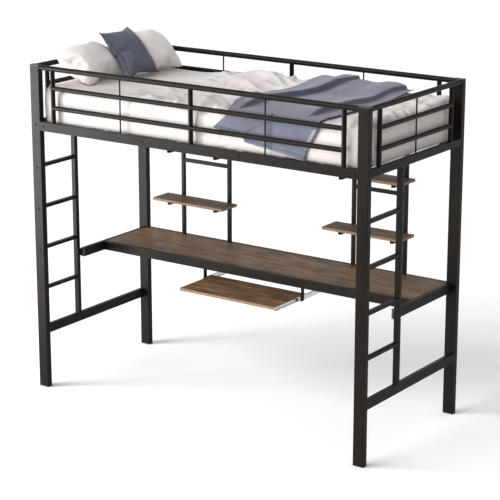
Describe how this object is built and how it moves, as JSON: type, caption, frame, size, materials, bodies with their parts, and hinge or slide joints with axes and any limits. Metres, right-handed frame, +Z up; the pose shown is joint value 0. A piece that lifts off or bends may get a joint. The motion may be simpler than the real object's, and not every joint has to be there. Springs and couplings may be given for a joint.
{
  "type": "loft bed with desk",
  "caption": "High single bed on a steel tube frame with guard rails, end ladders, a desk with a sliding keyboard tray and shelf racks below.",
  "frame": {"origin": "centre of the bed at floor level, under the middle of the frame", "axes": "+X along the bed to its foot end, +Y to the wall side, +Z up; the keyboard tray pulls out towards -Y"},
  "size_m": [2.1, 0.946, 1.935],
  "materials": {
    "frame_paint": "satin black powder coat",
    "wood_board": "rustic brown wood board, lighter brown edges",
    "black_plastic": "moulded matt black",
    "bolt_black": "black oxide, dull",
    "zinc_runner": "bright zinc plated",
    "white_linen": "soft matt woven cotton, warm white",
    "navy_fabric": "soft matt woven cotton, slate navy"
  },
  "bodies": {
    "bed": {"base_beams": "frame_paint", "bed_cover": "white_linen", "cross_rail_left": "frame_paint", "cross_rail_right": "frame_paint", "cushion": "navy_fabric", "desk_bars": "frame_paint", "desk_bolts": "bolt_black", "desk_end_caps": "black_plastic", "desk_front_rail": "frame_paint", "desk_plates": "frame_paint", "desk_rear_rail": "frame_paint", "desk_side_left": "frame_paint", "desk_side_right": "frame_paint", "desktop_left": "wood_board", "desktop_right": "wood_board", "end_rail_left": "frame_paint", "end_rail_right": "frame_paint", "frame_bolts": "bolt_black", "guard_front": "frame_paint", "guard_left": "frame_paint", "guard_rear": "frame_paint", "guard_right": "frame_paint", "guard_rods": "frame_paint", "ladder_rungs_left": "frame_paint", "ladder_rungs_right": "frame_paint", "ladder_upright_left": "frame_paint", "ladder_upright_right": "frame_paint", "mattress": "white_linen", "pillow_front": "white_linen", "pillow_rear": "white_linen", "post_caps": "black_plastic", "post_feet": "black_plastic", "post_front_left": "frame_paint", "post_front_right": "frame_paint", "post_rear_left": "frame_paint", "post_rear_right": "frame_paint", "rack_cross_left": "frame_paint", "rack_cross_right": "frame_paint", "rack_uprights_left": "frame_paint", "rack_uprights_right": "frame_paint", "rail_tabs": "frame_paint", "runner_outer_left": "zinc_runner", "runner_outer_right": "zinc_runner", "shelf_arms_left": "frame_paint", "shelf_arms_right": "frame_paint", "shelf_lower_left": "wood_board", "shelf_lower_right": "wood_board", "shelf_upper_left": "wood_board", "shelf_upper_right": "wood_board", "side_rail_front": "frame_paint", "side_rail_rear": "frame_paint", "slat_ledges": "frame_paint", "slats": "frame_paint", "throw": "navy_fabric", "tray_hangers": "frame_paint"},
    "keyboard_tray": {"tray_board": "wood_board", "runner_inner_left": "zinc_runner", "runner_inner_right": "zinc_runner"}
  },
  "joints": [
    {"name": "tray_slide", "type": "slide", "parent": "bed", "child": "keyboard_tray", "axis": [0, -1, 0], "range_m": [-0.212, 0.018]}
  ]
}
